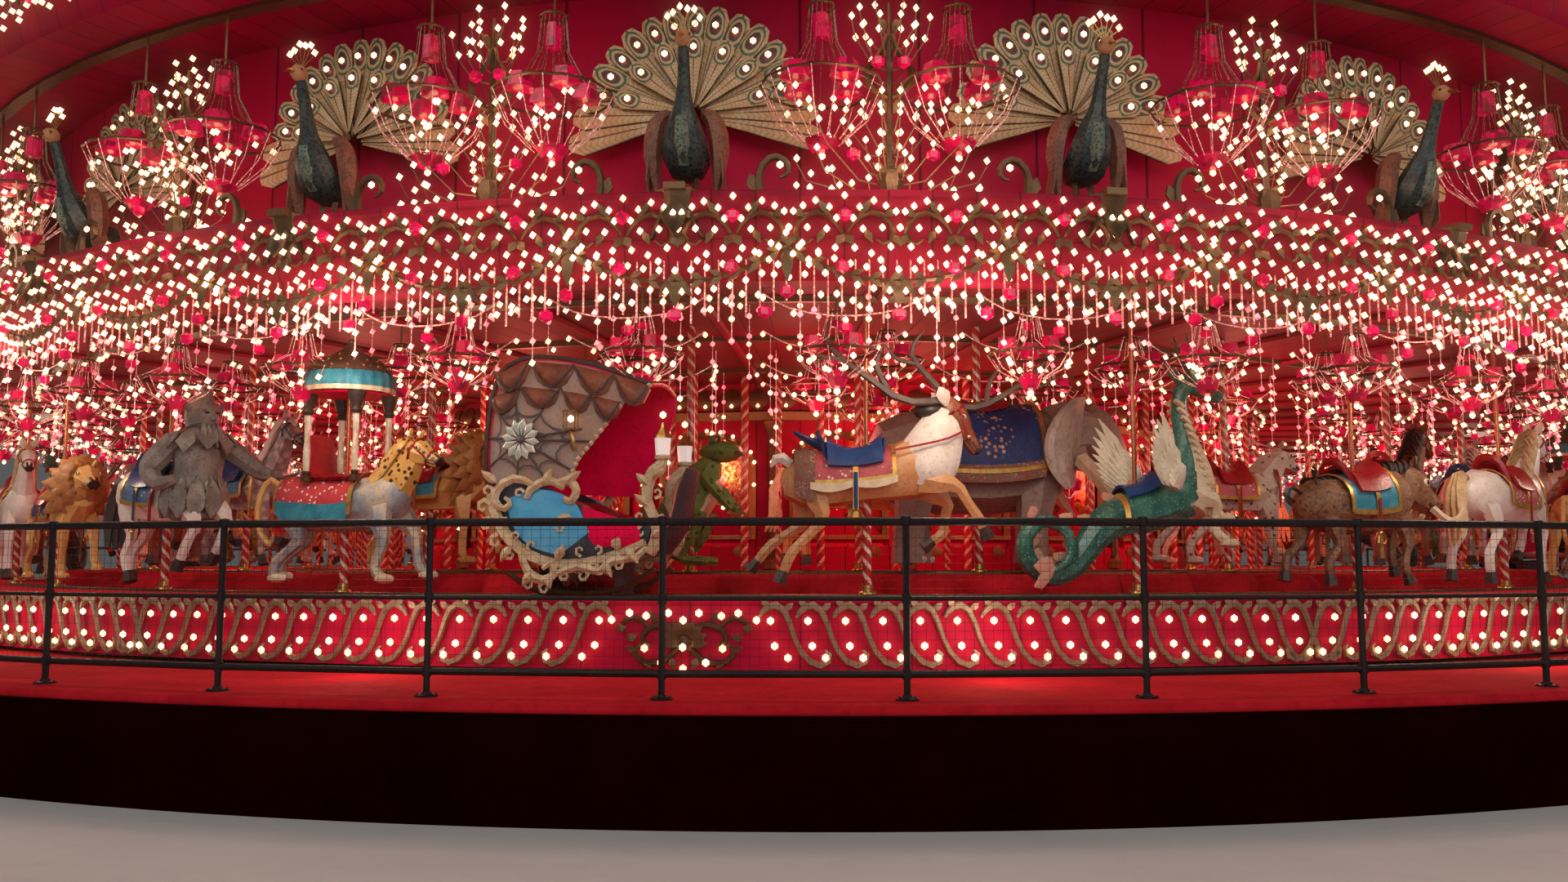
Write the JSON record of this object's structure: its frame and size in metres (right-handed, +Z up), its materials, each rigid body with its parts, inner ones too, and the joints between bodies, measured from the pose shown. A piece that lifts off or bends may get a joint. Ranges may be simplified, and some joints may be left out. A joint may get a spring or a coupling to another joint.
{
  "type": "fairground carousel",
  "caption": "Very large indoor menagerie carousel with lamplit canopy and cornices, peacocks, chandeliers and mixed animal figures, on a railed round plinth.",
  "frame": {"origin": "on the ground, on the axis that the carousel turns about, at the bottom centre of the plinth", "axes": "+Z up along the turning axis; -Y towards the side that the picture shows, where the figures face +X"},
  "size_m": [28.16, 28.16, 11.4],
  "materials": {
    "maroon_paint": "matt",
    "red_carpet": "cut pile",
    "black_steel": "semi-gloss",
    "crimson_board": "painted boards, satin",
    "aged_gilt": "aged bronze gilding",
    "painted_hide": "painted carving, satin",
    "peacock_paint": "painted carving, satin",
    "crystal": "cut glass beads",
    "lamp_glass": "lit warm bulbs",
    "red_glass": "magenta red glass globes and shades",
    "figure_trim": "blue and gold painted harness",
    "barber_pole": "twisted red and white stripe with gold"
  },
  "bodies": {
    "surround": {"plinth_wall_1": "maroon_paint", "plinth_wall_2": "maroon_paint", "plinth_wall_3": "maroon_paint", "plinth_wall_4": "maroon_paint", "plinth_floor": "red_carpet", "centre_pivot": "black_steel", "railing_1": "black_steel", "railing_2": "black_steel", "railing_3": "black_steel", "railing_4": "black_steel", "railing_5": "black_steel", "railing_6": "black_steel", "railing_7": "black_steel", "railing_8": "black_steel", "railing_9": "black_steel", "railing_10": "black_steel", "railing_11": "black_steel", "railing_12": "black_steel"},
    "carousel": {"platform_deck": "red_carpet", "platform_skirt": "crimson_board", "platform_step": "red_carpet", "centre_housing": "crimson_board", "canopy_ceiling": "crimson_board", "rim_cornice": "aged_gilt", "upper_drum": "crimson_board", "upper_cornice": "aged_gilt", "roof": "crimson_board", "roof_finial": "aged_gilt", "outer_row_1": "painted_hide", "outer_row_2": "painted_hide", "outer_row_3": "painted_hide", "outer_row_4": "painted_hide", "outer_row_5": "painted_hide", "outer_row_6": "painted_hide", "outer_row_7": "painted_hide", "outer_row_8": "painted_hide", "second_row_1": "painted_hide", "second_row_2": "painted_hide", "second_row_3": "painted_hide", "second_row_4": "painted_hide", "inner_row_1": "painted_hide", "inner_row_2": "painted_hide", "inner_row_3": "painted_hide", "inner_row_4": "painted_hide", "peacocks_1": "peacock_paint", "peacocks_2": "peacock_paint", "peacocks_3": "peacock_paint", "peacocks_4": "peacock_paint", "upper_chandeliers_1": "crystal", "upper_chandeliers_2": "crystal", "upper_chandeliers_3": "crystal", "upper_chandeliers_4": "crystal"}
  },
  "joints": [
    {"name": "carousel_turn", "type": "hinge", "parent": "surround", "child": "carousel", "pos_m": [0, 0, 0], "axis": [0, 0, 1], "continuous": true}
  ]
}
